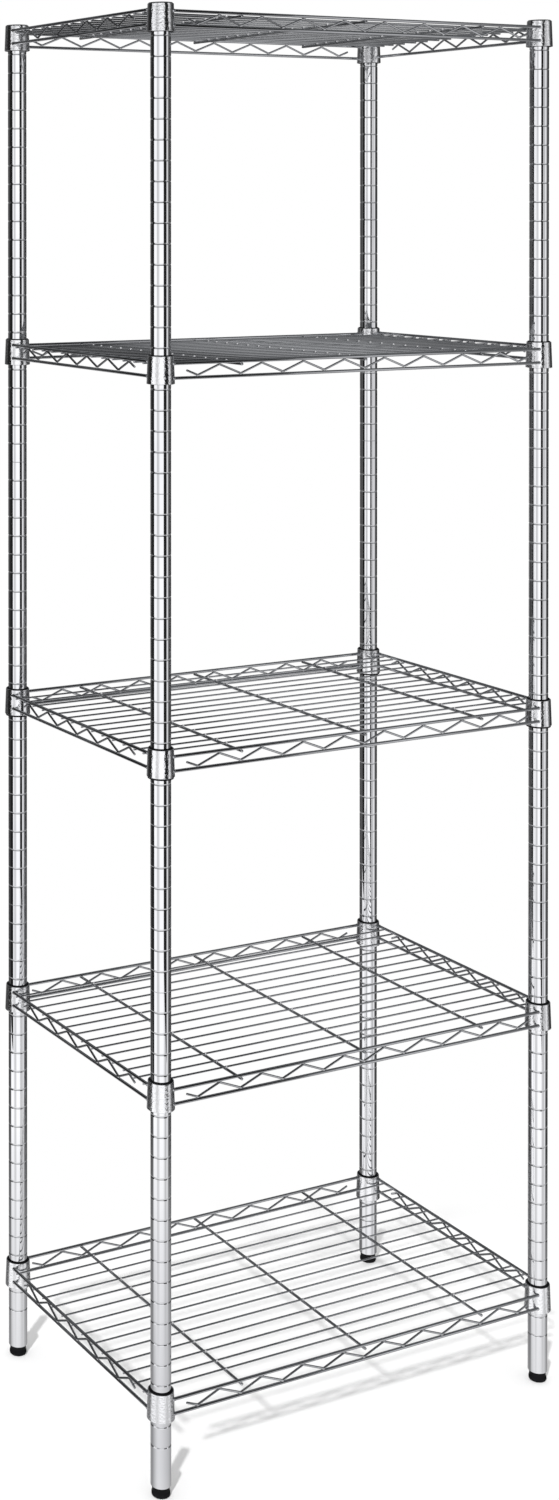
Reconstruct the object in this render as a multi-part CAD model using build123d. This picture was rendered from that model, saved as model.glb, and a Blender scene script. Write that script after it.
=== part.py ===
from build123d import *
from math import atan2, cos
import os

# Five-shelf wire rack on four grooved posts. Millimetres, +Z up.
# The origin is on the floor under the middle of the rack; X runs along the long side, the front is -Y.

# ---------------------------------------------------------------- driving sizes
inch = 25.4

# Where the post centres stand.
post_spacing_x = 600.0
post_spacing_y = 360.0

# Posts: one-inch tube in three lengths, with a locating groove every inch.
post_radius = 0.5 * inch
post_wall = 1.2
groove_pitch = inch
groove_depth = 0.5
groove_width = 2.6
first_groove = 2
post_break_inches = {"lower": (0.0, 24.0), "middle": (24.0, 48.0), "upper": (48.0, 71.5)}
end_chamfer = 0.4

# Feet: the tube ends stand this high above the floor with the feet screwed fully in.
foot_height = 13.2
foot_gap = 0.2
foot_top_radius = 11.2
foot_waist_radius = 10.7
foot_pad_radius = 11.6
foot_waist_height = 7.5
foot_pad_height = 5.0
foot_bottom_round = 2.2
foot_rim_height = 1.0
stud_radius = 5.0
stud_floor_height = 4.0
stud_reach = 30.0
running_clearance = 0.05

# Hidden fittings inside the tubes.
plug_clearance = 0.02
insert_length = 22.0
joint_plug_length = 15.0
joint_stud_length = 18.0
joint_recess = 0.2

# End caps.
cap_head_radius = 12.3
cap_head_height = 2.2
cap_plug_length = 12.0
cap_plug_wall = 1.6
cap_round = 1.2

# A rounded edge is turned as two flats that meet at this share of its radius in from each face.
round_share = 0.3

# Shelves: the groove each shelf's sleeves sit in, counted in inches from the tube ends, bottom shelf first.
shelf_grooves = [4, 19, 35, 54, 71]
# How much higher (or lower) than usual each shelf has wedged itself on its sleeves.
shelf_rises = [0.0, 0.0, 2.0, 0.0, -1.5]

# Collars: tapered sockets at the shelf corners, measured from the groove they hang on.
collar_below_groove = 19.0
collar_above_groove = 15.5
collar_bottom_radius = 17.3
collar_top_radius = 16.0
collar_wall = 1.2

# Split sleeves: taper plugs clipped to the posts that the collars wedge down on. Those of the middle shelf
# are a longer pattern that shows as a black band under its collars.
sleeve_skirts = [0.3, 0.3, 2.3, 0.3, 0.3]
sleeve_above_collar = 1.0
sleeve_clearance = 0.05
sleeve_split_degrees = 4.0
bead_side_clearance = 0.1

# Wires.
rail_radius = 2.0
truss_radius = 1.4
deck_radius = 1.2
rib_radius = 1.8
weld_bite = 0.3
rail_offset = 12.0
rail_end_offset = 10.5
front_rail_above_groove = 6.2
rail_drop = 18.0

# Zigzag trusses between the upper and the lower rails.
front_truss_half_pitch = 1.25 * inch
side_truss_half_pitch = inch
front_truss_bends = 8
side_truss_bends = 5
truss_bend_radius = 3.0
truss_end_fraction = 0.5

# Deck wires and the ribs below them.
deck_pitch = inch
deck_inner_count = 12
deck_collar_gap = 1.0
deck_end_past_rail = 1.0
rib_spacing = 7.5 * inch
rib_end_past_rail = 3.0

# ---------------------------------------------------------------- derived sizes
bore_radius = post_radius - post_wall
half_x = post_spacing_x / 2
half_y = post_spacing_y / 2
post_corners = {
    "fl": (-half_x, -half_y),
    "fr": (half_x, -half_y),
    "rl": (-half_x, half_y),
    "rr": (half_x, half_y),
}
post_top = post_break_inches["upper"][1] * inch

# The ribs hang under the front and rear rails, the deck wires lie on the ribs, and the side rails lie on
# the deck wires. That stack sets how much higher the side rails are than the front ones.
rib_below_front_rail = rail_radius + rib_radius - weld_bite
deck_above_rib = rib_radius + deck_radius - weld_bite
side_rail_above_deck = rail_radius + deck_radius - weld_bite
deck_above_groove = front_rail_above_groove - rib_below_front_rail + deck_above_rib
rib_above_groove = front_rail_above_groove - rib_below_front_rail
side_rail_above_groove = deck_above_groove + side_rail_above_deck


def wire_between(start, end, radius):
    """A straight round wire from one point to another."""
    path = Line(start, end)
    section = Plane(origin=path @ 0, z_dir=path % 0) * Circle(radius)
    return extrude(section, amount=path.length)


def turned(points, arc=360):
    """A solid turned about the Z axis from (radius, height) points."""
    outline = Polyline(*[(radius, 0, height) for radius, height in points], close=True)
    return revolve(make_face(outline), axis=Axis.Z, revolution_arc=arc)


# ---------------------------------------------------------------- posts
def groove_points(groove):
    """The outer profile through one locating groove, from below to above."""
    height = groove * groove_pitch
    return [
        (post_radius, height - groove_width / 2),
        (post_radius - groove_depth, height - groove_width / 4),
        (post_radius - groove_depth, height + groove_width / 4),
        (post_radius, height + groove_width / 2),
    ]


def post_section(bottom_inches, top_inches):
    """One length of grooved tube; its ends are chamfered where the next length butts on."""
    bottom = bottom_inches * inch
    top = top_inches * inch
    points = [
        (bore_radius, bottom),
        (post_radius - end_chamfer, bottom),
        (post_radius, bottom + end_chamfer),
    ]
    for groove in range(first_groove, int(post_top / groove_pitch) + 1):
        if bottom + groove_width < groove * groove_pitch < top - groove_width:
            points += groove_points(groove)
    points += [
        (post_radius, top - end_chamfer),
        (post_radius - end_chamfer, top),
        (bore_radius, top),
    ]
    return Pos(0, 0, foot_height) * turned(points)


# ---------------------------------------------------------------- fittings inside the posts
def threaded_insert(top):
    """A plug with a bored middle, its upper face at the given height above the tube ends."""
    outer = bore_radius - plug_clearance
    inner = stud_radius + running_clearance
    bottom = top - insert_length
    points = [(inner, bottom), (outer, bottom), (outer, top), (inner, top)]
    return Pos(0, 0, foot_height) * turned(points)


def joint_stud(seam):
    """The plug at the foot of an upper length, with the stud that screws into the length below."""
    outer = bore_radius - plug_clearance
    points = [
        (0, seam - joint_stud_length),
        (stud_radius, seam - joint_stud_length),
        (stud_radius, seam),
        (outer, seam),
        (outer, seam + joint_plug_length),
        (0, seam + joint_plug_length),
    ]
    return Pos(0, 0, foot_height) * turned(points)


def post_cap():
    """A low cap on top of a post: a rounded disc on the tube end and a hollow plug in the bore."""
    plug_outer = bore_radius - plug_clearance
    head_bottom = post_top + plug_clearance
    head_top = post_top + cap_head_height
    points = [
        (0, head_top),
        (cap_head_radius - cap_round, head_top),
        (cap_head_radius - cap_round * round_share, head_top - cap_round * round_share),
        (cap_head_radius, head_top - cap_round),
        (cap_head_radius, head_bottom),
        (plug_outer, head_bottom),
        (plug_outer, post_top - cap_plug_length),
        (plug_outer - cap_plug_wall, post_top - cap_plug_length),
        (plug_outer - cap_plug_wall, head_bottom),
        (0, head_bottom),
    ]
    return Pos(0, 0, foot_height) * turned(points)


# ---------------------------------------------------------------- feet
def foot():
    """The black moulded foot, slightly waisted, with a blind socket for its stud."""
    socket = stud_radius + running_clearance
    top = foot_height - foot_gap
    points = [
        (0, 0),
        (foot_pad_radius - foot_bottom_round, 0),
        (foot_pad_radius - foot_bottom_round * round_share, foot_bottom_round * round_share),
        (foot_pad_radius, foot_bottom_round),
        (foot_pad_radius, foot_pad_height),
        (foot_waist_radius, foot_waist_height),
        (foot_top_radius, top - foot_rim_height),
        (foot_top_radius, top),
        (socket, top),
        (socket, stud_floor_height - running_clearance),
        (0, stud_floor_height - running_clearance),
    ]
    return turned(points)


def foot_stud():
    """The stud between a foot and the insert in its post."""
    top = foot_height + stud_reach
    points = [(0, stud_floor_height), (stud_radius, stud_floor_height), (stud_radius, top), (0, top)]
    return turned(points)


# ---------------------------------------------------------------- sleeves and collars
def collar_radius_at(height, shrink):
    """The collar's outer radius at a height above the groove, less a shrink."""
    taper = (collar_bottom_radius - collar_top_radius) / (collar_below_groove + collar_above_groove)
    return collar_bottom_radius - taper * (height + collar_below_groove) - shrink


def collar_solid(bottom, top, shrink):
    """The tapered solid inside the collar's outer surface, less a shrink."""
    points = [
        (0, bottom),
        (collar_radius_at(bottom, shrink), bottom),
        (collar_radius_at(top, shrink), top),
        (0, top),
    ]
    return turned(points)


def collar():
    """One tapered corner socket."""
    bottom = -collar_below_groove
    top = collar_above_groove
    points = [
        (collar_radius_at(bottom, collar_wall), bottom),
        (collar_radius_at(bottom, 0), bottom),
        (collar_radius_at(top, 0), top),
        (collar_radius_at(top, collar_wall), top),
    ]
    return turned(points)


def sleeve_half(rise, skirt):
    """One half of a split sleeve: a taper outside, and a bead inside that fills the post's groove. The groove
    is at height 0; the collar stands higher than usual by the rise, and the skirt shows below it."""
    bottom = rise - collar_below_groove - skirt
    top = rise + collar_above_groove + sleeve_above_collar
    inner = post_radius + sleeve_clearance
    bead = inner - groove_depth
    outer_shrink = collar_wall + sleeve_clearance
    bead_half = groove_width / 2 - bead_side_clearance
    bead_tip_half = groove_width / 4 - bead_side_clearance
    points = [
        (inner, bottom),
        (collar_radius_at(bottom - rise, outer_shrink), bottom),
        (collar_radius_at(top - rise, outer_shrink), top),
        (inner, top),
        (inner, bead_half),
        (bead, bead_tip_half),
        (bead, -bead_tip_half),
        (inner, -bead_half),
    ]
    half = turned(points, 180 - sleeve_split_degrees)
    return Rot(0, 0, sleeve_split_degrees / 2) * half


# ---------------------------------------------------------------- shelf wires
def rail_pair(length_half, offset, height, along_x):
    """The two opposite rails of one level, their ends coped to the collars they are welded to."""
    rails = []
    corner_cones = []
    for x, y in post_corners.values():
        cone = collar_solid(-collar_below_groove, collar_above_groove, weld_bite)
        corner_cones.append(Pos(x, y, 0) * cone)
    for side in (-1, 1):
        if along_x:
            start = (-length_half, side * offset, height)
            end = (length_half, side * offset, height)
        else:
            start = (side * offset, -length_half, height)
            end = (side * offset, length_half, height)
        rail = wire_between(start, end, rail_radius)
        for cone in corner_cones:
            rail = rail - cone
        rails.append(rail)
    return rails


def rails_at(front_height, side_height):
    """Front, rear, left and right rails of one level."""
    front = rail_pair(half_x - rail_end_offset, half_y + rail_offset, front_height, True)
    side = rail_pair(half_y - rail_end_offset, half_x + rail_offset, side_height, False)
    return front + side


def zigzag_points(bends, half_pitch, low, high, starts_low):
    """Corner points of a zigzag centred on zero, with a short free stub at each end."""
    first = -bends * half_pitch
    middle = (low + high) / 2
    stub = half_pitch * truss_end_fraction
    points = [(first - stub, middle)]
    for index in range(2 * bends + 1):
        is_low = (index % 2 == 0) == starts_low
        points.append((first + index * half_pitch, low if is_low else high))
    points.append((-first + stub, middle))
    return points


def truss(bends, half_pitch, upper_height, along_x, across, starts_low):
    """One zigzag wire held between an upper and a lower rail."""
    reach = rail_radius + truss_radius - weld_bite
    slope = atan2(rail_drop - 2 * reach, half_pitch)
    rounding = truss_bend_radius * (1 / cos(slope) - 1)
    high = upper_height - reach + rounding
    low = upper_height - rail_drop + reach - rounding
    corners = zigzag_points(bends, half_pitch, low, high, starts_low)
    if along_x:
        points = [(along, across, height) for along, height in corners]
    else:
        points = [(across, along, height) for along, height in corners]
    path = FilletPolyline(*points, radius=truss_bend_radius)
    section = Plane(origin=path @ 0, z_dir=path % 0) * Circle(truss_radius)
    return sweep(section, path=path)


def trusses():
    """Zigzags of the front, rear, left and right sides."""
    solids = []
    for side in (-1, 1):
        front_across = side * (half_y + rail_offset)
        side_across = side * (half_x + rail_offset)
        solids.append(
            truss(front_truss_bends, front_truss_half_pitch, front_rail_above_groove, True, front_across, True)
        )
        solids.append(
            truss(side_truss_bends, side_truss_half_pitch, side_rail_above_groove, False, side_across, False)
        )
    return solids


def deck_wires():
    """The long wires things stand on; the outermost pair runs just inside the collars."""
    outermost = half_y - collar_bottom_radius - deck_radius - deck_collar_gap
    inner_start = -(deck_inner_count - 1) * deck_pitch / 2
    positions = [-outermost, outermost]
    positions += [inner_start + index * deck_pitch for index in range(deck_inner_count)]
    end = half_x + rail_offset + deck_end_past_rail
    height = deck_above_groove
    return [wire_between((-end, y, height), (end, y, height), deck_radius) for y in sorted(positions)]


def cross_ribs():
    """The three stiffening wires under the deck."""
    end = half_y + rail_offset + rib_end_past_rail
    height = rib_above_groove
    positions = (-rib_spacing, 0, rib_spacing)
    return [wire_between((x, -end, height), (x, end, height), rib_radius) for x in positions]


# ---------------------------------------------------------------- writing the pieces
def write_piece(name, solids):
    """Write one piece, or one group of separate identical pieces."""
    shape = solids[0] if len(solids) == 1 else Compound(children=solids)
    export_step(shape, f"parts/{name}.step")


def at_corners(solid):
    """A copy of the solid at every post."""
    return [Pos(x, y, 0) * solid for x, y in post_corners.values()]


def write_posts():
    for section, (bottom, top) in post_break_inches.items():
        tube = post_section(bottom, top)
        for corner, (x, y) in post_corners.items():
            write_piece(f"post_{corner}_{section}", [Pos(x, y, 0) * tube])


def write_post_fittings():
    seams = [post_break_inches["middle"][0] * inch, post_break_inches["upper"][0] * inch]
    inserts = []
    studs = []
    for seam in seams:
        inserts += at_corners(threaded_insert(seam - joint_recess))
        studs += at_corners(joint_stud(seam))
    write_piece("joint_inserts", inserts)
    write_piece("joint_studs", studs)
    write_piece("foot_inserts", at_corners(threaded_insert(insert_length)))
    write_piece("post_caps", at_corners(post_cap()))


def write_feet():
    pad = foot()
    stud = foot_stud()
    for corner, (x, y) in post_corners.items():
        write_piece(f"foot_{corner}", [Pos(x, y, 0) * pad])
        write_piece(f"foot_{corner}_stud", [Pos(x, y, 0) * stud])


def write_sleeves(number, groove_height, rise, skirt):
    half = Pos(0, 0, groove_height) * sleeve_half(rise, skirt)
    other_half = Rot(0, 0, 180) * half
    write_piece(f"shelf_{number}_sleeve_halves", at_corners(half) + at_corners(other_half))


def write_shelves():
    groups = {
        "collars": at_corners(collar()),
        "upper_rails": rails_at(front_rail_above_groove, side_rail_above_groove),
        "lower_rails": rails_at(front_rail_above_groove - rail_drop, side_rail_above_groove - rail_drop),
        "trusses": trusses(),
        "deck_wires": deck_wires(),
        "cross_ribs": cross_ribs(),
    }
    for number, (groove, rise, skirt) in enumerate(zip(shelf_grooves, shelf_rises, sleeve_skirts), start=1):
        groove_height = foot_height + groove * groove_pitch
        write_sleeves(number, groove_height, rise, skirt)
        for group, solids in groups.items():
            write_piece(f"shelf_{number}_{group}", [Pos(0, 0, groove_height + rise) * solid for solid in solids])


os.makedirs("parts", exist_ok=True)
write_posts()
write_post_fittings()
write_feet()
write_shelves()
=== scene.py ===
import math

import bpy
from mathutils import Euler, Matrix, Vector


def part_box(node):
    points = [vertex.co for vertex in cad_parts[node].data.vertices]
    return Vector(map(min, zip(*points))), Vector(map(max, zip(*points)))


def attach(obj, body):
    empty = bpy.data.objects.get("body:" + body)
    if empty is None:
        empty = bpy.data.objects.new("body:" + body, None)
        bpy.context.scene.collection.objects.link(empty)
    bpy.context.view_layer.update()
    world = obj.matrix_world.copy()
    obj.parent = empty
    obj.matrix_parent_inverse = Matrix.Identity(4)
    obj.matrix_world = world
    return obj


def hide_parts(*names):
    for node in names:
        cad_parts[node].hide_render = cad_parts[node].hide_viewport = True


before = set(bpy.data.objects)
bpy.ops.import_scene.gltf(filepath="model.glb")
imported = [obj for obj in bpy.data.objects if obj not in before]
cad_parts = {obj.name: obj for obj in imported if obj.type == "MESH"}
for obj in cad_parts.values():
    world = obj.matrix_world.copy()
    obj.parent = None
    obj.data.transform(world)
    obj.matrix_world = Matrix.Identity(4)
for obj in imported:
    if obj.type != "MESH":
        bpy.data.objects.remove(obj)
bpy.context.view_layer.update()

# The looks of a wire shelving rack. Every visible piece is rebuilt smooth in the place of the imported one, at
# the same size and on the same body, and the weld nuggets are added. The stage and the camera come last.

# ---------------------------------------------------------------- sizes, in metres
MM = 0.001
INCH = 0.0254
CORNERS = ("fl", "fr", "rl", "rr")
SECTIONS = ("lower", "middle", "upper")
SHELVES = (1, 2, 3, 4, 5)

POST_RADIUS = 12.7 * MM
POST_WALL = 1.2 * MM
GROOVE_DEPTH = 0.5 * MM
GROOVE_HALF_WIDTH = 1.3 * MM
SUPPORT_GAP = 0.35 * MM
SEAM_CHAMFER = 0.4 * MM
FIRST_GROOVE = 2

COLLAR_BOTTOM_RADIUS = 17.3 * MM
COLLAR_TOP_RADIUS = 16.0 * MM
COLLAR_WALL = 1.2 * MM
RIM_ROUND = 0.45 * MM
# Shares of a collar's height where its wall has a ring of points.
COLLAR_OUTSIDE_RINGS = (0.03, 0.06, 0.35, 0.65, 0.94, 0.97)
COLLAR_INSIDE_RINGS = (0.97, 0.94, 0.06, 0.03)
HANGING_HEIGHT = 19.0 * MM
SLEEVE_CLEARANCE = 0.05 * MM
SLEEVE_SPLIT_DEGREES = 4.0
SLEEVE_EDGE = 0.35 * MM
SLEEVE_BEAD_DEPTH = 0.45 * MM
SLEEVE_BEAD_HALF_HEIGHT = 1.2 * MM
SLEEVE_BEAD_HALF_CREST = 0.5 * MM

RAIL_RADIUS = 2.0 * MM
TRUSS_RADIUS = 1.4 * MM
DECK_RADIUS = 1.2 * MM
RIB_RADIUS = 1.8 * MM
WELD_BITE = 0.3 * MM
# The rounded end of a wire: its length and flat as shares of the wire's radius, and its rings of points.
END_DOME = 0.55
END_FLAT = 0.2
END_RINGS = (0.98, 0.7, 0.4)
RAIL_OFFSET = 12.0 * MM
RAIL_END_OFFSET = 11.2 * MM
FRONT_RAIL_ABOVE_SEAT = 6.2 * MM
RAIL_DROP = 18.0 * MM
FRONT_HALF_PITCH = 1.25 * INCH
SIDE_HALF_PITCH = INCH
FRONT_BENDS = 8
SIDE_BENDS = 5
TRUSS_BEND_RADIUS = 3.0 * MM
DECK_INNER_COUNT = 12
DECK_COLLAR_GAP = 1.0 * MM
RIB_SPACING = 7.5 * INCH
DECK_PAST_RAIL = 1.0 * MM
RIB_PAST_RAIL = 3.0 * MM
SHARP_DEGREES = 40.0
# Straight steps in a rounded edge of an outline, and in a bend of a wire.
ARC_STEPS = 8
BEND_STEPS = 6
# How far the middle of a rounded edge lies from its two sides, as a share of its radius.
EDGE_MIDDLE = 0.3

CAP_HEAD_RADIUS = 12.3 * MM
CAP_ROUND = 1.2 * MM
CAP_EDGE = 0.2 * MM
CAP_EDGE_HEIGHT = 0.25 * MM
CAP_GAP = 0.05 * MM
CAP_PLUG_CLEARANCE = 0.1 * MM

# Feet: radii and heights above the sole up the side, then radii and depths below the top round the rim.
FOOT_SOLE_RADIUS = 8.6 * MM
FOOT_PAD_RADIUS = 11.6 * MM
FOOT_PAD_ROUND = 2.4 * MM
FOOT_PAD_LIFT = 0.05 * MM
FOOT_SIDE = ((11.6, 4.2), (11.5, 5.0), (10.85, 6.4), (10.7, 7.5), (10.75, 8.8))
FOOT_RIM = ((11.1, 1.4), (11.2, 0.8), (11.1, 0.2), (10.9, 0.0), (5.2, 0.0), (5.05, 0.2))
FOOT_BORE_RADIUS = 5.05 * MM
FOOT_BORE_FLOOR = 4.0 * MM

THREAD_PITCH = 1.5 * MM
THREAD_CREST_RADIUS = 4.97 * MM
THREAD_DEPTH = 0.8 * MM
THREAD_FLANK_SHARE = 1 / 3
THREAD_RUN_OUT = 2.0 * MM
THREAD_STEPS_PER_PITCH = 8
THREAD_SIDES = 28

# Weld nuggets: half sizes along X, Y and Z.
DECK_WELD = (1.9 * MM, 2.4 * MM, 1.3 * MM)
DECK_WELD_DROP = 0.1 * MM
RIB_WELD = (1.6 * MM, 1.9 * MM, 0.6 * MM)
SIDE_RAIL_WELD = (1.7 * MM, 1.5 * MM, 0.55 * MM)
FRONT_TRUSS_WELD = (2.2 * MM, 1.2 * MM, 0.6 * MM)
SIDE_TRUSS_WELD = (1.2 * MM, 2.2 * MM, 0.6 * MM)
FRONT_COLLAR_WELD = (2.6 * MM, 1.9 * MM, 2.3 * MM)
SIDE_COLLAR_WELD = (1.9 * MM, 2.6 * MM, 2.3 * MM)
COLLAR_WELD_INSET = 11.0 * MM
COLLAR_WELD_OUTSET = 12.6 * MM

# Heights of the wire layers above the middle of the collars' seat: ribs under the front rails, deck wires on
# the ribs, side rails on the deck wires.
RIB_HEIGHT = FRONT_RAIL_ABOVE_SEAT - RAIL_RADIUS - RIB_RADIUS + WELD_BITE
DECK_HEIGHT = RIB_HEIGHT + RIB_RADIUS + DECK_RADIUS - WELD_BITE
SIDE_RAIL_ABOVE_SEAT = DECK_HEIGHT + DECK_RADIUS + RAIL_RADIUS - WELD_BITE


def box_centre(node):
    low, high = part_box(node)
    return (low + high) / 2


def near(value):
    """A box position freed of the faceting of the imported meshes."""
    return round(value, 4)


posts = {c: (near(box_centre(f"post_{c}_lower").x), near(box_centre(f"post_{c}_lower").y)) for c in CORNERS}
half_x = posts["fr"][0]
half_y = posts["rl"][1]
tube_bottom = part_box("post_fl_lower")[0].z
seat_heights = {n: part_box(f"shelf_{n}_collars")[0].z + HANGING_HEIGHT for n in SHELVES}


# ---------------------------------------------------------------- mesh building
class Shape:
    """Collects vertices and faces of one piece."""

    def __init__(self):
        self.points = []
        self.faces = []

    def ring_grid(self, rings, closed_along=False):
        """Joins rings of equally many points into a skin and returns the index of its first point."""
        first = len(self.points)
        count = len(rings[0])
        for ring in rings:
            self.points += ring
        last_ring = len(rings) if closed_along else len(rings) - 1
        for i in range(last_ring):
            for j in range(count):
                a = first + i * count + j
                b = first + i * count + (j + 1) % count
                c = first + ((i + 1) % len(rings)) * count + (j + 1) % count
                d = first + ((i + 1) % len(rings)) * count + j
                self.faces.append((a, b, c, d))
        return first

    def cap(self, indices):
        self.faces.append(tuple(indices))

    def lathe(self, profile, centre, segments=64):
        """Turns (radius, height) points about a vertical axis. A profile that starts and ends on the axis is
        capped there; any other is closed on itself, like a tube wall."""
        x, y = centre
        on_axis = profile[0][0] == 0 and profile[-1][0] == 0
        skin = profile[1:-1] if on_axis else profile
        rings = []
        for radius, height in skin:
            ring = []
            for j in range(segments):
                angle = 2 * math.pi * j / segments
                ring.append((x + radius * math.cos(angle), y + radius * math.sin(angle), height))
            rings.append(ring)
        first = self.ring_grid(rings, closed_along=not on_axis)
        if on_axis:
            last = first + (len(rings) - 1) * segments
            bottom_tip = len(self.points)
            self.points += [(x, y, profile[0][1]), (x, y, profile[-1][1])]
            for j in range(segments):
                k = (j + 1) % segments
                self.faces.append((bottom_tip, first + k, first + j))
                self.faces.append((bottom_tip + 1, last + j, last + k))

    def arc_lathe(self, profile, centre, start, sweep, segments):
        """Turns a closed profile through part of a circle and closes both cut ends. The profile runs the same
        way as in lathe()."""
        x, y = centre
        rings = []
        for i in range(segments + 1):
            angle = start + sweep * i / segments
            ring = []
            for radius, height in reversed(profile):
                ring.append((x + radius * math.cos(angle), y + radius * math.sin(angle), height))
            rings.append(ring)
        first = self.ring_grid(rings)
        count = len(profile)
        self.cap(range(first + count - 1, first - 1, -1))
        self.cap(range(first + segments * count, first + (segments + 1) * count))

    def wire(self, path, radius, across, sides):
        """A round wire along points lying in one plane; across is that plane's normal."""
        across = Vector(across).normalized()
        points = [Vector(p) for p in path]
        stations = []
        for i, point in enumerate(points):
            before = points[max(i - 1, 0)]
            after = points[min(i + 1, len(points) - 1)]
            stations.append((point, (after - before).normalized(), radius))
        start, forward, _ = stations[0]
        finish, onward, _ = stations[-1]
        head = []
        tail = []
        for share in END_RINGS:
            beyond = radius * END_DOME * share
            width = max(radius * math.sqrt(1 - share * share), radius * END_FLAT)
            head.append((start - forward * beyond, forward, width))
            tail.append((finish + onward * beyond, onward, width))
        stations = head + stations + tail[::-1]
        rings = []
        for point, along, width in stations:
            upward = along.cross(across).normalized()
            ring = []
            for j in range(sides):
                angle = 2 * math.pi * j / sides
                spot = point + width * (math.cos(angle) * across + math.sin(angle) * upward)
                ring.append(tuple(spot))
            rings.append(ring)
        first = self.ring_grid(rings)
        self.cap(range(first + sides - 1, first - 1, -1))
        end = first + (len(rings) - 1) * sides
        self.cap(range(end, end + sides))

    def bead(self, centre, radii, sides=10, rows=6):
        """A small weld nugget, a squashed ball."""
        x, y, z = centre
        rx, ry, rz = radii
        rings = []
        for i in range(1, rows):
            tilt = math.pi * i / rows
            ring = []
            for j in range(sides):
                angle = 2 * math.pi * j / sides
                ring.append((
                    x + rx * math.sin(tilt) * math.cos(angle),
                    y + ry * math.sin(tilt) * math.sin(angle),
                    z - rz * math.cos(tilt),
                ))
            rings.append(ring)
        first = self.ring_grid(rings)
        last = first + (len(rings) - 1) * sides
        tip = len(self.points)
        self.points += [(x, y, z - rz), (x, y, z + rz)]
        for j in range(sides):
            k = (j + 1) % sides
            self.faces.append((tip, first + k, first + j))
            self.faces.append((tip + 1, last + j, last + k))

    def piece(self, name, material, body, nodes=()):
        """Makes the object, ties it to its CAD body, gives it its material slot and hides the CAD nodes it
        replaces.
        """
        mesh = bpy.data.meshes.new(name)
        mesh.from_pydata(self.points, [], self.faces)
        mesh.validate()
        mesh.update()
        mesh.materials.append(material)
        mesh.shade_smooth()
        mesh.set_sharp_from_angle(angle=math.radians(SHARP_DEGREES))
        made = bpy.data.objects.new(name, mesh)
        bpy.context.scene.collection.objects.link(made)
        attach(made, body)
        if nodes:
            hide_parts(*nodes)
        return made


# ---------------------------------------------------------------- material helpers
def node_tree(name):
    """A new material with only a Principled shader and its output, as (material, tree, shader)."""
    material = bpy.data.materials.new(name)
    material.use_nodes = True
    tree = material.node_tree
    return material, tree, tree.nodes["Principled BSDF"]


def add_node(tree, kind, **settings):
    made = tree.nodes.new(kind)
    for key, value in settings.items():
        setattr(made, key, value)
    return made


def noise(tree, coordinates, scale, detail, stretch=(1, 1, 1)):
    """A noise field in object space, stretched along the axes."""
    mapping = add_node(tree, "ShaderNodeMapping")
    mapping.inputs["Scale"].default_value = stretch
    field = add_node(tree, "ShaderNodeTexNoise")
    field.inputs["Scale"].default_value = scale
    field.inputs["Detail"].default_value = detail
    tree.links.new(coordinates, mapping.inputs["Vector"])
    tree.links.new(mapping.outputs["Vector"], field.inputs["Vector"])
    return field.outputs["Fac"]


def spread(tree, value, low, high, from_low=0.3, from_high=0.7):
    """Maps a field to a range."""
    ranged = add_node(tree, "ShaderNodeMapRange")
    ranged.inputs["From Min"].default_value = from_low
    ranged.inputs["From Max"].default_value = from_high
    ranged.inputs["To Min"].default_value = low
    ranged.inputs["To Max"].default_value = high
    tree.links.new(value, ranged.inputs["Value"])
    return ranged.outputs["Result"]


def colour_between(tree, factor, dark, light, low=0.3, high=0.7):
    ramp = add_node(tree, "ShaderNodeValToRGB")
    ramp.color_ramp.elements[0].position = low
    ramp.color_ramp.elements[1].position = high
    ramp.color_ramp.elements[0].color = (*dark, 1)
    ramp.color_ramp.elements[1].color = (*light, 1)
    tree.links.new(factor, ramp.inputs["Fac"])
    return ramp.outputs["Color"]


def bumped(tree, shader, layers):
    """Stacks bump layers of (field, height in metres) on a shader."""
    normal = None
    for field, height in layers:
        bump = add_node(tree, "ShaderNodeBump")
        bump.inputs["Strength"].default_value = 1.0
        bump.inputs["Distance"].default_value = height
        tree.links.new(field, bump.inputs["Height"])
        if normal is not None:
            tree.links.new(normal, bump.inputs["Normal"])
        normal = bump.outputs["Normal"]
    tree.links.new(normal, shader.inputs["Normal"])


def object_coordinates(tree):
    return add_node(tree, "ShaderNodeTexCoord").outputs["Object"]


def chrome(name, stretch, dents, grain, light, dark, rough, metallic=1.0, dent_scale=140.0):
    """Bright plate: cool reflections, drifting haze, draw lines along the metal and faint dents below."""
    material, tree, shader = node_tree(name)
    where = object_coordinates(tree)
    haze = noise(tree, where, scale=9.0, detail=5.0)
    lines = noise(tree, where, scale=900.0, detail=2.0, stretch=stretch)
    soft = noise(tree, where, scale=dent_scale, detail=3.0)
    shader.inputs["Metallic"].default_value = metallic
    tree.links.new(colour_between(tree, haze, dark, light), shader.inputs["Base Color"])
    tree.links.new(spread(tree, haze, rough[0], rough[1]), shader.inputs["Roughness"])
    bumped(tree, shader, [(soft, dents), (lines, grain)])
    return material


def black_plastic(name, base, rough, grain_scale, grain):
    """Moulded black plastic with a fine grain and slightly worn, dusty high spots."""
    material, tree, shader = node_tree(name)
    where = object_coordinates(tree)
    wear = noise(tree, where, scale=60.0, detail=6.0)
    pores = noise(tree, where, scale=grain_scale, detail=2.0)
    dusty = tuple(3.0 * part for part in base)
    colour = colour_between(tree, wear, base, dusty, low=0.42, high=0.8)
    tree.links.new(colour, shader.inputs["Base Color"])
    tree.links.new(spread(tree, wear, rough[0], rough[1]), shader.inputs["Roughness"])
    shader.inputs["Specular IOR Level"].default_value = 0.1
    bumped(tree, shader, [(wear, grain), (pores, grain)])
    return material


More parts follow.
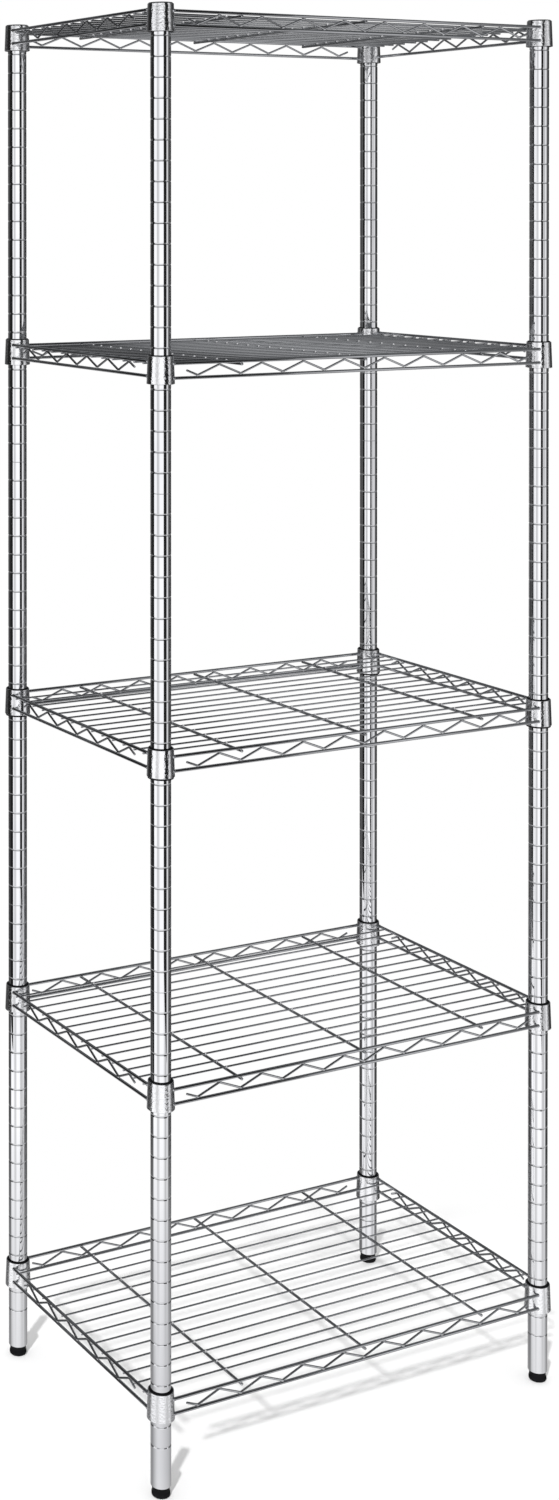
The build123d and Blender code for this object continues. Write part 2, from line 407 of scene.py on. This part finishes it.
def zinc_plate():
    """Bright zinc on machined steel, with a crystalline mottle."""
    material, tree, shader = node_tree("zinc_steel")
    where = object_coordinates(tree)
    mottle = noise(tree, where, scale=260.0, detail=3.0)
    cut = noise(tree, where, scale=700.0, detail=2.0, stretch=(0.15, 0.15, 3.0))
    shader.inputs["Metallic"].default_value = 1.0
    colour = colour_between(tree, mottle, (0.45, 0.46, 0.47), (0.68, 0.69, 0.70))
    tree.links.new(colour, shader.inputs["Base Color"])
    tree.links.new(spread(tree, mottle, 0.22, 0.38), shader.inputs["Roughness"])
    bumped(tree, shader, [(cut, 0.03 * MM)])
    return material


post_chrome = chrome(
    "post_chrome", stretch=(1, 1, 0.02), dents=0.006 * MM, grain=0.001 * MM,
    light=(0.93, 0.935, 0.945), dark=(0.84, 0.845, 0.865), rough=(0.01, 0.05),
)
collar_chrome = chrome(
    "collar_chrome", stretch=(1, 1, 0.4), dents=0.32 * MM, grain=0.004 * MM,
    light=(0.97, 0.975, 0.985), dark=(0.86, 0.865, 0.88), rough=(0.02, 0.08), dent_scale=420.0,
)
wire_chrome = chrome(
    "wire_chrome", stretch=(0.2, 0.2, 1), dents=0.006 * MM, grain=0.002 * MM,
    light=(0.61, 0.62, 0.635), dark=(0.48, 0.485, 0.50), rough=(0.05, 0.12),
)
# Weld nuggets: real chrome welds, but half matte and light grey so they show as bright dots from every side;
# that brightness is a painted highlight for the glints where wires cross.
weld_chrome_painted_glint = chrome(
    "weld_chrome_painted_glint", stretch=(1, 1, 1), dents=0.02 * MM, grain=0.004 * MM,
    light=(0.76, 0.76, 0.77), dark=(0.58, 0.58, 0.60), rough=(0.35, 0.45), metallic=0.5,
)
sleeve_plastic = black_plastic(
    "sleeve_plastic", base=(0.003, 0.003, 0.0035), rough=(0.45, 0.6), grain_scale=1800.0, grain=0.02 * MM,
)
cap_plastic = black_plastic(
    "cap_plastic", base=(0.004, 0.004, 0.0045), rough=(0.45, 0.6), grain_scale=1500.0, grain=0.02 * MM,
)
foot_plastic = black_plastic(
    "foot_plastic", base=(0.003, 0.003, 0.0035), rough=(0.4, 0.6), grain_scale=1200.0, grain=0.03 * MM,
)
zinc_steel = zinc_plate()


# ---------------------------------------------------------------- posts
def groove_profile(height):
    """The smooth dip of one locating groove, with flat wall just beyond its lips."""
    profile = [(POST_RADIUS, height - GROOVE_HALF_WIDTH - SUPPORT_GAP)]
    for i in range(ARC_STEPS + 1):
        share = -1 + 2 * i / ARC_STEPS
        dip = GROOVE_DEPTH * (0.5 + 0.5 * math.cos(math.pi * share))
        profile.append((POST_RADIUS - dip, height + share * GROOVE_HALF_WIDTH))
    profile.append((POST_RADIUS, height + GROOVE_HALF_WIDTH + SUPPORT_GAP))
    return profile


def tube_profile(bottom, top):
    """Outside from the bottom up, over the top edge and down the bore."""
    profile = [
        (POST_RADIUS - SEAM_CHAMFER, bottom),
        (POST_RADIUS - EDGE_MIDDLE * SEAM_CHAMFER, bottom + EDGE_MIDDLE * SEAM_CHAMFER),
        (POST_RADIUS, bottom + SEAM_CHAMFER),
        (POST_RADIUS, bottom + SEAM_CHAMFER + SUPPORT_GAP),
    ]
    groove = FIRST_GROOVE
    while tube_bottom + groove * INCH < top - 2 * GROOVE_HALF_WIDTH:
        height = tube_bottom + groove * INCH
        if height > bottom + 2 * GROOVE_HALF_WIDTH:
            profile += groove_profile(height)
        groove += 1
    profile += [
        (POST_RADIUS, top - SEAM_CHAMFER - SUPPORT_GAP),
        (POST_RADIUS, top - SEAM_CHAMFER),
        (POST_RADIUS - EDGE_MIDDLE * SEAM_CHAMFER, top - EDGE_MIDDLE * SEAM_CHAMFER),
        (POST_RADIUS - SEAM_CHAMFER, top),
        (POST_RADIUS - POST_WALL + SUPPORT_GAP, top),
        (POST_RADIUS - POST_WALL, top),
        (POST_RADIUS - POST_WALL, top - SUPPORT_GAP),
        (POST_RADIUS - POST_WALL, bottom + SUPPORT_GAP),
        (POST_RADIUS - POST_WALL, bottom),
        (POST_RADIUS - POST_WALL + SUPPORT_GAP, bottom),
    ]
    return profile


def make_posts():
    for section in SECTIONS:
        for corner in CORNERS:
            node = f"post_{corner}_{section}"
            low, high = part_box(node)
            shape = Shape()
            shape.lathe(tube_profile(low.z, high.z), posts[corner], segments=64)
            tube = shape.piece(f"{node}_tube", post_chrome, "frame", [node])
            tube.visible_shadow = False


def make_caps():
    """Low domed caps; only the head shows, the plug is inside the tube."""
    low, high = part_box("post_caps")
    tube_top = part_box("post_fl_upper")[1].z
    plug = POST_RADIUS - POST_WALL - CAP_PLUG_CLEARANCE
    seat = tube_top + CAP_GAP
    profile = [
        (0, low.z),
        (plug, low.z),
        (plug, seat),
        (CAP_HEAD_RADIUS - CAP_EDGE, seat),
        (CAP_HEAD_RADIUS, seat + CAP_EDGE_HEIGHT),
        (CAP_HEAD_RADIUS, high.z - CAP_ROUND),
    ]
    for i in range(1, ARC_STEPS + 1):
        turn = math.pi / 2 * i / ARC_STEPS
        radius = CAP_HEAD_RADIUS - CAP_ROUND * (1 - math.cos(turn))
        profile.append((radius, high.z - CAP_ROUND + CAP_ROUND * math.sin(turn)))
    profile += [(CAP_HEAD_RADIUS / 2, high.z), (0, high.z)]
    shape = Shape()
    for corner in CORNERS:
        shape.lathe(profile, posts[corner], segments=48)
    shape.piece("post_caps_domed", cap_plastic, "frame", ["post_caps"])


# ---------------------------------------------------------------- feet
def make_feet():
    """Waisted moulded feet with soft edges, and threaded studs."""
    for corner in CORNERS:
        low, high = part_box(f"foot_{corner}")
        profile = [(0, low.z), (FOOT_SOLE_RADIUS, low.z)]
        for i in range(ARC_STEPS + 1):
            turn = math.pi / 2 * i / ARC_STEPS
            radius = FOOT_PAD_RADIUS - FOOT_PAD_ROUND * (1 - math.sin(turn))
            profile.append((radius, low.z + FOOT_PAD_LIFT + FOOT_PAD_ROUND * (1 - math.cos(turn))))
        profile += [(radius * MM, low.z + height * MM) for radius, height in FOOT_SIDE]
        profile += [(radius * MM, high.z - depth * MM) for radius, depth in FOOT_RIM]
        profile += [(FOOT_BORE_RADIUS, low.z + FOOT_BORE_FLOOR), (0, low.z + FOOT_BORE_FLOOR)]
        shape = Shape()
        shape.lathe(profile, posts[corner], segments=64)
        body = f"foot_{corner}_body"
        shape.piece(f"foot_{corner}_moulding", foot_plastic, body, [f"foot_{corner}"])
        make_stud(corner)


def make_stud(corner):
    """A rolled metric thread: a helix ridge on a round core, inside the CAD stud's cylinder."""
    node = f"foot_{corner}_stud"
    low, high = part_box(node)
    x, y = posts[corner]
    sides = THREAD_SIDES
    count = int((high.z - low.z) * THREAD_STEPS_PER_PITCH / THREAD_PITCH)
    rings = []
    for i in range(count + 1):
        height = low.z + (high.z - low.z) * i / count
        fade = min(1.0, (high.z - height) / THREAD_RUN_OUT, (height - low.z) / THREAD_RUN_OUT)
        ring = []
        for j in range(sides):
            angle = 2 * math.pi * j / sides
            phase = (height / THREAD_PITCH - j / sides) % 1.0
            ridge = min(1.0, (0.5 - abs(phase - 0.5)) / THREAD_FLANK_SHARE)
            radius = THREAD_CREST_RADIUS - THREAD_DEPTH * (1 - ridge * fade)
            ring.append((x + radius * math.cos(angle), y + radius * math.sin(angle), height))
        rings.append(ring)
    shape = Shape()
    first = shape.ring_grid(rings)
    shape.cap(range(first + sides - 1, first - 1, -1))
    last = first + count * sides
    shape.cap(range(last, last + sides))
    shape.piece(f"{node}_thread", zinc_steel, f"foot_{corner}_stud_body", [node])


# ---------------------------------------------------------------- collars and sleeves
def taper_radius(share, shrink=0.0):
    """Outer collar radius from its bottom (0) to its top (1), less a shrink."""
    return COLLAR_BOTTOM_RADIUS + (COLLAR_TOP_RADIUS - COLLAR_BOTTOM_RADIUS) * share - shrink


def rolled_rim(share, height, sign):
    """The half-round rim of a collar, from inside to outside at the bottom (-1) and back at the top (1)."""
    bulge = COLLAR_WALL / 2
    middle = taper_radius(share) - bulge
    rim = []
    for i in range(ARC_STEPS + 1):
        turn = math.pi * i / ARC_STEPS
        rim.append((middle + sign * bulge * math.cos(turn), height - sign * RIM_ROUND * (1 - math.sin(turn))))
    return rim


def make_collars(number):
    """Tapered sockets with rolled rims."""
    node = f"shelf_{number}_collars"
    low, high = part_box(node)
    span = high.z - low.z
    outline = rolled_rim(0.0, low.z, -1)
    for share in COLLAR_OUTSIDE_RINGS:
        outline.append((taper_radius(share), low.z + span * share))
    outline += rolled_rim(1.0, high.z, 1)
    for share in COLLAR_INSIDE_RINGS:
        outline.append((taper_radius(share, COLLAR_WALL), low.z + span * share))
    shape = Shape()
    for corner in CORNERS:
        shape.lathe(outline, posts[corner], segments=72)
    sockets = shape.piece(f"{node}_tapered", collar_chrome, f"shelf_{number}", [node])
    sockets.visible_shadow = False


def make_sleeves(number):
    """Split taper sleeves: two moulded halves with softened edges, and a bead inside for the groove."""
    node = f"shelf_{number}_sleeve_halves"
    low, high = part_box(node)
    collar_low, collar_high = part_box(f"shelf_{number}_collars")
    span = collar_high.z - collar_low.z
    groove = tube_bottom + INCH * round((seat_heights[number] - tube_bottom) / INCH)
    inner = POST_RADIUS + SLEEVE_CLEARANCE
    shrink = COLLAR_WALL + SLEEVE_CLEARANCE

    def outer(height):
        return taper_radius((height - collar_low.z) / span, shrink)

    edge = SLEEVE_EDGE
    profile = [
        (inner, low.z),
        (outer(low.z) - edge, low.z),
        (outer(low.z), low.z + edge),
        (outer(groove), groove),
        (outer(high.z), high.z - edge),
        (outer(high.z) - EDGE_MIDDLE * edge, high.z - EDGE_MIDDLE * edge),
        (outer(high.z) - edge, high.z),
        (inner + edge / 2, high.z),
        (inner, high.z - edge / 2),
        (inner, groove + SLEEVE_BEAD_HALF_HEIGHT),
        (inner - SLEEVE_BEAD_DEPTH, groove + SLEEVE_BEAD_HALF_CREST),
        (inner - SLEEVE_BEAD_DEPTH, groove - SLEEVE_BEAD_HALF_CREST),
        (inner, groove - SLEEVE_BEAD_HALF_HEIGHT),
    ]
    gap = math.radians(SLEEVE_SPLIT_DEGREES)
    shape = Shape()
    for corner in CORNERS:
        for side in (0, 1):
            start = side * math.pi + gap / 2
            shape.arc_lathe(profile, posts[corner], start, math.pi - gap, segments=36)
    halves = shape.piece(f"{node}_moulded", sleeve_plastic, "frame", [node])
    halves.visible_shadow = False


# ---------------------------------------------------------------- shelf wires
def rail_lines(front_height, side_height):
    """(start, end, plane normal) of the front, rear, left and right rails of one level."""
    lines = []
    for side in (-1, 1):
        y = side * (half_y + RAIL_OFFSET)
        x = half_x - RAIL_END_OFFSET
        lines.append(((-x, y, front_height), (x, y, front_height), (0, 1, 0)))
        x = side * (half_x + RAIL_OFFSET)
        y = half_y - RAIL_END_OFFSET
        lines.append(((x, -y, side_height), (x, y, side_height), (1, 0, 0)))
    return lines


def make_rails(number, level, front_height, side_height):
    node = f"shelf_{number}_{level}_rails"
    shape = Shape()
    for start, end, across in rail_lines(front_height, side_height):
        shape.wire([start, end], RAIL_RADIUS, across, sides=18)
    shape.piece(f"{node}_drawn", wire_chrome, f"shelf_{number}", [node])


def rounded_path(corners, radius):
    """A zigzag in (along, height) with its corners rounded."""
    path = [corners[0]]
    for before, corner, after in zip(corners, corners[1:], corners[2:]):
        here = Vector(corner)
        back = (Vector(before) - here).normalized()
        on = (Vector(after) - here).normalized()
        half_angle = back.angle(on) / 2
        cut = radius / math.tan(half_angle)
        centre = here + (back + on).normalized() * (radius / math.sin(half_angle))
        start = here + back * cut - centre
        finish = here + on * cut - centre
        for i in range(BEND_STEPS + 1):
            share = i / BEND_STEPS
            spoke = (start * (1 - share) + finish * share).normalized() * radius
            path.append(tuple(centre + spoke))
    path.append(corners[-1])
    return path


def truss_path(bends, half_pitch, upper_height, starts_low):
    """The zigzag from one free stub to the other, between an upper rail and the rail below it."""
    reach = RAIL_RADIUS + TRUSS_RADIUS - WELD_BITE
    slope = math.atan2(RAIL_DROP - 2 * reach, half_pitch)
    rounding = TRUSS_BEND_RADIUS * (1 / math.cos(slope) - 1)
    high = upper_height - reach + rounding
    low = upper_height - RAIL_DROP + reach - rounding
    first = -bends * half_pitch
    middle = (low + high) / 2
    corners = [(first - half_pitch / 2, middle)]
    for index in range(2 * bends + 1):
        is_low = (index % 2 == 0) == starts_low
        corners.append((first + index * half_pitch, low if is_low else high))
    corners.append((-first + half_pitch / 2, middle))
    return rounded_path(corners, TRUSS_BEND_RADIUS)


def make_trusses(number, seat):
    node = f"shelf_{number}_trusses"
    front = truss_path(FRONT_BENDS, FRONT_HALF_PITCH, seat + FRONT_RAIL_ABOVE_SEAT, True)
    side = truss_path(SIDE_BENDS, SIDE_HALF_PITCH, seat + SIDE_RAIL_ABOVE_SEAT, False)
    shape = Shape()
    for sign in (-1, 1):
        y = sign * (half_y + RAIL_OFFSET)
        shape.wire([(along, y, height) for along, height in front], TRUSS_RADIUS, (0, 1, 0), sides=12)
        x = sign * (half_x + RAIL_OFFSET)
        shape.wire([(x, along, height) for along, height in side], TRUSS_RADIUS, (1, 0, 0), sides=12)
    shape.piece(f"{node}_bent", wire_chrome, f"shelf_{number}", [node])


def deck_positions():
    outermost = half_y - COLLAR_BOTTOM_RADIUS - DECK_RADIUS - DECK_COLLAR_GAP
    inner_start = -(DECK_INNER_COUNT - 1) * INCH / 2
    return [-outermost] + [inner_start + i * INCH for i in range(DECK_INNER_COUNT)] + [outermost]


def make_deck(number, seat):
    node = f"shelf_{number}_deck_wires"
    end = half_x + RAIL_OFFSET + DECK_PAST_RAIL
    height = seat + DECK_HEIGHT
    shape = Shape()
    for y in deck_positions():
        shape.wire([(-end, y, height), (end, y, height)], DECK_RADIUS, (0, 1, 0), sides=12)
    shape.piece(f"{node}_drawn", wire_chrome, f"shelf_{number}", [node])


def make_ribs(number, seat):
    node = f"shelf_{number}_cross_ribs"
    end = half_y + RAIL_OFFSET + RIB_PAST_RAIL
    height = seat + RIB_HEIGHT
    shape = Shape()
    for x in (-RIB_SPACING, 0, RIB_SPACING):
        shape.wire([(x, -end, height), (x, end, height)], RIB_RADIUS, (1, 0, 0), sides=16)
    shape.piece(f"{node}_drawn", wire_chrome, f"shelf_{number}", [node])


def make_welds(number, seat):
    """Nuggets where wires cross, and larger ones where rails meet the collars."""
    shape = Shape()
    rib_contact = seat + RIB_HEIGHT + RIB_RADIUS - WELD_BITE / 2
    deck_weld_height = seat + DECK_HEIGHT - DECK_WELD_DROP
    for x in (-RIB_SPACING, 0, RIB_SPACING):
        for y in deck_positions():
            shape.bead((x, y, deck_weld_height), DECK_WELD)
        for sign in (-1, 1):
            shape.bead((x, sign * (half_y + RAIL_OFFSET), rib_contact), RIB_WELD)
    deck_contact = seat + DECK_HEIGHT + DECK_RADIUS - WELD_BITE / 2
    for sign in (-1, 1):
        for y in deck_positions():
            shape.bead((sign * (half_x + RAIL_OFFSET), y, deck_contact), SIDE_RAIL_WELD)
    reach = RAIL_RADIUS - WELD_BITE / 2
    truss_sets = (
        (FRONT_BENDS, FRONT_HALF_PITCH, seat + FRONT_RAIL_ABOVE_SEAT, True, half_y),
        (SIDE_BENDS, SIDE_HALF_PITCH, seat + SIDE_RAIL_ABOVE_SEAT, False, half_x),
    )
    for bends, half_pitch, upper, is_front, half_span in truss_sets:
        for index in range(2 * bends + 1):
            along = (index - bends) * half_pitch
            at_lower = (index % 2 == 0) == is_front
            height = upper - RAIL_DROP + reach if at_lower else upper - reach
            for sign in (-1, 1):
                across = sign * (half_span + RAIL_OFFSET)
                if is_front:
                    shape.bead((along, across, height), FRONT_TRUSS_WELD)
                else:
                    shape.bead((across, along, height), SIDE_TRUSS_WELD)
    # The nuggets at the crossings take the light weld finish; their bright dots are a painted highlight.
    shape.piece(f"shelf_{number}_weld_nuggets", weld_chrome_painted_glint, f"shelf_{number}")
    corner_shape = Shape()
    for drop in (0, RAIL_DROP):
        front_height = seat + FRONT_RAIL_ABOVE_SEAT - drop
        side_height = seat + SIDE_RAIL_ABOVE_SEAT - drop
        for right in (-1, 1):
            for back in (-1, 1):
                front_x = right * (half_x - COLLAR_WELD_INSET)
                front_y = back * (half_y + COLLAR_WELD_OUTSET)
                corner_shape.bead((front_x, front_y, front_height), FRONT_COLLAR_WELD, sides=14, rows=8)
                side_x = right * (half_x + COLLAR_WELD_OUTSET)
                side_y = back * (half_y - COLLAR_WELD_INSET)
                corner_shape.bead((side_x, side_y, side_height), SIDE_COLLAR_WELD, sides=14, rows=8)
    corner_shape.piece(f"shelf_{number}_corner_welds", wire_chrome, f"shelf_{number}")


def make_shelves():
    for number in SHELVES:
        seat = seat_heights[number]
        front_height = seat + FRONT_RAIL_ABOVE_SEAT
        side_height = seat + SIDE_RAIL_ABOVE_SEAT
        make_collars(number)
        make_sleeves(number)
        make_rails(number, "upper", front_height, side_height)
        make_rails(number, "lower", front_height - RAIL_DROP, side_height - RAIL_DROP)
        make_trusses(number, seat)
        make_deck(number, seat)
        make_ribs(number, seat)
        make_welds(number, seat)


def plate_hidden_fittings():
    """The CAD pieces inside the tubes stay as imported, in the same zinc as the studs."""
    for node in ("joint_inserts", "joint_studs", "foot_inserts"):
        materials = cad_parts[node].data.materials
        materials.clear()
        materials.append(zinc_steel)


make_posts()
make_caps()
make_feet()
make_shelves()
plate_hidden_fittings()


# ---------------------------------------------------------------- floor, light, surroundings
ONE_FACE = [(0, 1, 2, 3)]
FLOOR_HALF_SIZE = 60.0
FLOOR_DARK = (0.86, 0.86, 0.86)
FLOOR_LIGHT = (0.88, 0.88, 0.88)
# Half sizes of the plain middle of the floor, and how far outside it the fade to white starts and ends.
FLOOR_REACH = (0.34, 0.21, 0.0)
FLOOR_FADE = (0.02, 0.26)
SUN_TOWARDS = (-0.62, -0.52, 0.59)
SUN_STRENGTH = 2.7
SUN_WIDTH_DEGREES = 2.8
AMBIENT = 0.80
SHADOW_ROD_TOP = 0.075
SHADOW_ROD_RADIUS = 0.006
CARD_BLACK = (0.01, 0.01, 0.01, 1)
BLACK_CARDS = {
    "front_card": ((-0.30, -1.92), (0.42, -1.17)),
    "left_card": ((-1.25, 0.15), (-1.25, 1.2)),
}
CARD_LOW = 0.05
CARD_HIGH = 4.0

# What the chrome mirrors: brightness by compass angle, turning from the front (-Y) towards the left (-X).
STUDIO_PANELS = (
    (-180, 0.16), (-160, 0.24), (-140, 0.05), (-112, 0.04), (-85, 0.03), (-68, 0.10), (-55, 0.34),
    (-46, 0.88), (-36, 0.90), (-26, 0.45), (-5, 0.85), (5, 1.10), (42, 1.12), (50, 0.82), (60, 0.70),
    (68, 0.58), (76, 1.00), (92, 1.10), (103, 1.10), (118, 1.10), (126, 0.08), (132, 0.08), (140, 0.14),
    (150, 0.03), (162, 0.05), (180, 0.16),
)
# How much of the floor shows in a mirrored ray, by the ray's angle above the horizon.
FLOOR_SHARE = ((-90, 1.0), (-29, 1.0), (-23, 0.0), (90, 0.0))
# The mirrored floor's own brightness, by compass angle.
FLOOR_MIRRORED = (
    (-180, 0.40), (-110, 0.37), (-84, 0.43), (-64, 0.54), (-34, 0.62), (-10, 0.68), (20, 0.76), (50, 0.81),
    (75, 0.78), (90, 0.68), (110, 0.54), (130, 0.38), (150, 0.28), (180, 0.40),
)
COOL_TINT = 1.015
CEILING_STARTS_DEGREES = 8
CEILING_FULL_DEGREES = 20
CEILING_MIRRORED = (0.15, 0.155, 0.16, 1)
# The Mix node has sockets of the same names for other kinds of value; these are its colour ones.
MIX_COLOUR_A = 6
MIX_COLOUR_B = 7
MIX_COLOUR_RESULT = 2


def stage_object(name, points, faces, material):
    mesh = bpy.data.meshes.new(name)
    mesh.from_pydata(points, [], faces)
    mesh.materials.append(material)
    made = bpy.data.objects.new(name, mesh)
    bpy.context.scene.collection.objects.link(made)
    return made


def make_floor():
    """A plain pale floor that takes the rack's shadow and fades into the white backdrop further out."""
    material, tree, shader = node_tree("pale_floor")
    where = object_coordinates(tree)
    patch = noise(tree, where, 3.0, detail=3.0)
    tree.links.new(colour_between(tree, patch, FLOOR_DARK, FLOOR_LIGHT), shader.inputs["Base Color"])
    shader.inputs["Roughness"].default_value = 0.9
    shader.inputs["Specular IOR Level"].default_value = 0.0
    side = add_node(tree, "ShaderNodeVectorMath", operation="ABSOLUTE")
    tree.links.new(where, side.inputs[0])
    past = add_node(tree, "ShaderNodeVectorMath", operation="SUBTRACT")
    past.inputs[1].default_value = FLOOR_REACH
    tree.links.new(side.outputs["Vector"], past.inputs[0])
    outside = add_node(tree, "ShaderNodeVectorMath", operation="MAXIMUM")
    tree.links.new(past.outputs["Vector"], outside.inputs[0])
    distance = add_node(tree, "ShaderNodeVectorMath", operation="LENGTH")
    tree.links.new(outside.outputs["Vector"], distance.inputs[0])
    fade = spread(tree, distance.outputs["Value"], 0.0, 1.0, *FLOOR_FADE)
    fade.node.interpolation_type = "SMOOTHSTEP"
    backdrop = add_node(tree, "ShaderNodeEmission")
    mixed = add_node(tree, "ShaderNodeMixShader")
    tree.links.new(fade, mixed.inputs["Fac"])
    tree.links.new(shader.outputs[0], mixed.inputs[1])
    tree.links.new(backdrop.outputs[0], mixed.inputs[2])
    tree.links.new(mixed.outputs[0], tree.nodes["Material Output"].inputs["Surface"])
    size = FLOOR_HALF_SIZE
    corners = [(-size, -size, 0), (size, -size, 0), (size, size, 0), (-size, size, 0)]
    floor = stage_object("floor", corners, ONE_FACE, material)
    floor.visible_glossy = False


def make_cards():
    """Black cards that only reflections see. The front one draws the dark streak down each post. The left one
    darkens the left edge of each post, further round on the rear posts than on the front ones."""
    material, _, shader = node_tree("black_card")
    shader.inputs["Base Color"].default_value = CARD_BLACK
    shader.inputs["Roughness"].default_value = 0.9
    for name, (start, end) in BLACK_CARDS.items():
        corners = [(*start, CARD_LOW), (*end, CARD_LOW), (*end, CARD_HIGH), (*start, CARD_HIGH)]
        card = stage_object(name, corners, ONE_FACE, material)
        card.visible_camera = False
        card.visible_diffuse = False
        card.visible_shadow = False


def make_post_shadows():
    """Short rods that only shadow rays see; they stand in for the posts' shadow on the floor."""
    shape = Shape()
    for corner in CORNERS:
        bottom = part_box(f"post_{corner}_lower")[0].z
        radius = SHADOW_ROD_RADIUS
        top = SHADOW_ROD_TOP
        shape.lathe([(0, bottom), (radius, bottom), (radius, top), (0, top)], posts[corner])
    material, _, _ = node_tree("shadow_rod")
    rods = stage_object("shadow_rods", shape.points, shape.faces, material)
    rods.visible_camera = False
    rods.visible_diffuse = False
    rods.visible_glossy = False


def make_sun():
    light = bpy.data.lights.new("sun", "SUN")
    light.energy = SUN_STRENGTH
    light.angle = math.radians(SUN_WIDTH_DEGREES)
    lamp = bpy.data.objects.new("sun", light)
    lamp.rotation_euler = Vector(SUN_TOWARDS).to_track_quat("Z", "Y").to_euler()
    lamp.visible_glossy = False
    bpy.context.scene.collection.objects.link(lamp)


def grey_ramp(tree, factor, stops):
    """A piecewise linear run of faintly cool greys through (position, value) stops."""
    ramp = add_node(tree, "ShaderNodeValToRGB")
    elements = ramp.color_ramp.elements
    while len(elements) < len(stops):
        elements.new(0.5)
    for element, (position, value) in zip(elements, stops):
        element.position = position
        element.color = (value, value, value * COOL_TINT, 1)
    tree.links.new(factor, ramp.inputs["Fac"])
    return ramp.outputs["Color"]


def blend(tree, factor, first, second):
    """Mixes a linked colour with a linked or plain one."""
    mix = add_node(tree, "ShaderNodeMix", data_type="RGBA")
    tree.links.new(factor, mix.inputs["Factor"])
    tree.links.new(first, mix.inputs[MIX_COLOUR_A])
    if isinstance(second, tuple):
        mix.inputs[MIX_COLOUR_B].default_value = second
    else:
        tree.links.new(second, mix.inputs[MIX_COLOUR_B])
    return mix.outputs[MIX_COLOUR_RESULT]


def by_compass(stops):
    """(degrees, value) stops moved to the 0 to 1 of a colour ramp."""
    return [((angle + 180) / 360, value) for angle, value in stops]


def sine_position(angle):
    """Where an angle above the horizon falls on a ramp that runs with the ray's upward part."""
    return 0.5 + 0.5 * math.sin(math.radians(angle))


def make_surroundings():
    """White to the camera, an even grey to matt surfaces, and a studio of panels to the chrome."""
    world = bpy.data.worlds.new("studio")
    bpy.context.scene.world = world
    world.use_nodes = True
    tree = world.node_tree
    tree.nodes.clear()
    output = add_node(tree, "ShaderNodeOutputWorld")
    direction = add_node(tree, "ShaderNodeTexCoord").outputs["Generated"]
    facing = add_node(tree, "ShaderNodeVectorMath", operation="SCALE")
    facing.inputs["Scale"].default_value = -1.0
    tree.links.new(direction, facing.inputs[0])
    split = add_node(tree, "ShaderNodeSeparateXYZ")
    tree.links.new(facing.outputs["Vector"], split.inputs["Vector"])
    compass = add_node(tree, "ShaderNodeMath", operation="ARCTAN2")
    tree.links.new(split.outputs["X"], compass.inputs[0])
    tree.links.new(split.outputs["Y"], compass.inputs[1])
    around = spread(tree, compass.outputs[0], 0.0, 1.0, -math.pi, math.pi)
    panels = grey_ramp(tree, around, by_compass(STUDIO_PANELS))
    floor = grey_ramp(tree, around, by_compass(FLOOR_MIRRORED))
    up = spread(tree, split.outputs["Z"], 1.0, 0.0, -1.0, 1.0)
    rise = [(sine_position(angle), value) for angle, value in FLOOR_SHARE]
    over_floor = blend(tree, grey_ramp(tree, up, rise), panels, floor)
    ceiling_low = sine_position(CEILING_STARTS_DEGREES)
    ceiling_high = sine_position(CEILING_FULL_DEGREES)
    ceiling = spread(tree, up, 0.0, 1.0, ceiling_low, ceiling_high)
    mirrored = add_node(tree, "ShaderNodeBackground")
    tree.links.new(blend(tree, ceiling, over_floor, CEILING_MIRRORED), mirrored.inputs["Color"])
    path = add_node(tree, "ShaderNodeLightPath")
    seen = add_node(tree, "ShaderNodeBackground")
    seen.inputs["Color"].default_value = (1, 1, 1, 1)
    ambient = add_node(tree, "ShaderNodeBackground")
    ambient.inputs["Color"].default_value = (AMBIENT, AMBIENT, AMBIENT, 1)
    not_camera = add_node(tree, "ShaderNodeMixShader")
    tree.links.new(path.outputs["Is Glossy Ray"], not_camera.inputs["Fac"])
    tree.links.new(ambient.outputs[0], not_camera.inputs[1])
    tree.links.new(mirrored.outputs[0], not_camera.inputs[2])
    sorted_rays = add_node(tree, "ShaderNodeMixShader")
    tree.links.new(path.outputs["Is Camera Ray"], sorted_rays.inputs["Fac"])
    tree.links.new(not_camera.outputs[0], sorted_rays.inputs[1])
    tree.links.new(seen.outputs[0], sorted_rays.inputs[2])
    tree.links.new(sorted_rays.outputs[0], output.inputs["Surface"])


make_floor()
make_cards()
make_post_shadows()
make_sun()
make_surroundings()

# ---------------------------------------------------------------- camera
CAMERA_PLACE = (-1.72790, -2.38832, 1.58398)
CAMERA_TURN = 0.44354
CAMERA_TILT = -0.00908
CAMERA_ROLL = -0.00134
PLACE_TOLERANCE = 0.0001
LENS = 51.202
SENSOR_WIDTH = 36.0
SHIFT_X = 0.26580
SHIFT_Y = -0.34990
NEAREST_SEEN = 0.01
FURTHEST_SEEN = 200.0


def make_camera():
    """The photographer's eye: outside the front left corner, between the heights of the two top shelves. The
    frame is shifted rather than tilted, and the shift is on only while the camera stands in that place."""
    data = bpy.data.cameras.new("camera")
    data.lens = LENS
    data.sensor_width = SENSOR_WIDTH
    data.clip_start = NEAREST_SEEN
    data.clip_end = FURTHEST_SEEN
    camera = bpy.data.objects.new("camera", data)
    camera.location = CAMERA_PLACE
    level = Euler((math.pi / 2 + CAMERA_TILT, 0, -CAMERA_TURN)).to_matrix()
    camera.rotation_euler = (level @ Matrix.Rotation(CAMERA_ROLL, 3, "Z")).to_euler()
    bpy.context.scene.collection.objects.link(camera)
    bpy.context.scene.camera = camera
    for channel, amount in (("shift_x", SHIFT_X), ("shift_y", SHIFT_Y)):
        driver = data.driver_add(channel).driver
        driver.type = "SCRIPTED"
        place = driver.variables.new()
        place.name = "x"
        place.targets[0].id = camera
        place.targets[0].data_path = "location.x"
        driver.expression = f"{amount} if abs(x - ({CAMERA_PLACE[0]})) < {PLACE_TOLERANCE} else 0.0"


make_camera()
bpy.context.scene.view_settings.view_transform = "Standard"

bpy.context.view_layer.update()
